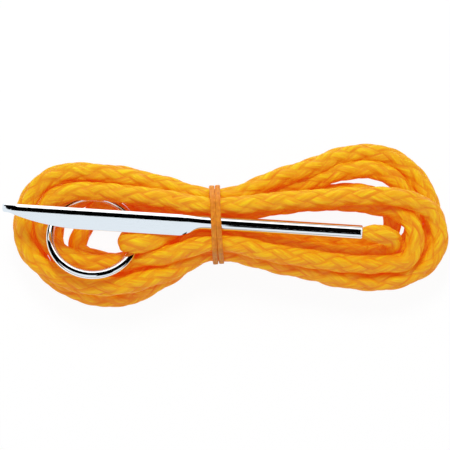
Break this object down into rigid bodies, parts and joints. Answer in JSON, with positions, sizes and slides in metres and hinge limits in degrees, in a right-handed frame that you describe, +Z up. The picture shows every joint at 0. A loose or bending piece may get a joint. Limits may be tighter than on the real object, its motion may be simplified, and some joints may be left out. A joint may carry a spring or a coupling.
{
  "type": "fish stringer",
  "caption": "Rope fish stringer wound into a hank, with a flat-bladed steel needle at one end and a steel ring in a spliced eye at the other, held by a rubber band.",
  "frame": {"origin": "middle of the object's box, on the surface that the hank lies on", "axes": "+X along the needle towards its socket, +Y across the hank, +Z up out of the surface"},
  "size_m": [0.1481, 0.054, 0.0253],
  "materials": {
    "plated_needle": "bright nickel plate",
    "plated_ring": "bright nickel plate",
    "rope": "hollow braid polypropylene",
    "rubber_band": "smooth amber gum rubber"
  },
  "bodies": {
    "hank": {"rope_hank": "rope", "rope_lead": "rope", "rope_eye": "rope", "band": "rubber_band"},
    "needle": {"needle": "plated_needle"},
    "ring": {"ring": "plated_ring"}
  },
  "joints": [
    {"name": "needle_slide", "type": "slide", "parent": "hank", "child": "needle", "axis": [-0.998, 0.0635, 0], "range_m": [0, 0.008], "deforming": ["rope_lead"]},
    {"name": "ring_turn", "type": "hinge", "parent": "hank", "child": "ring", "pos_m": [-0.04378, -0.00375, 0.01455], "axis": [0, 0.4462, 0.8949], "continuous": true}
  ]
}
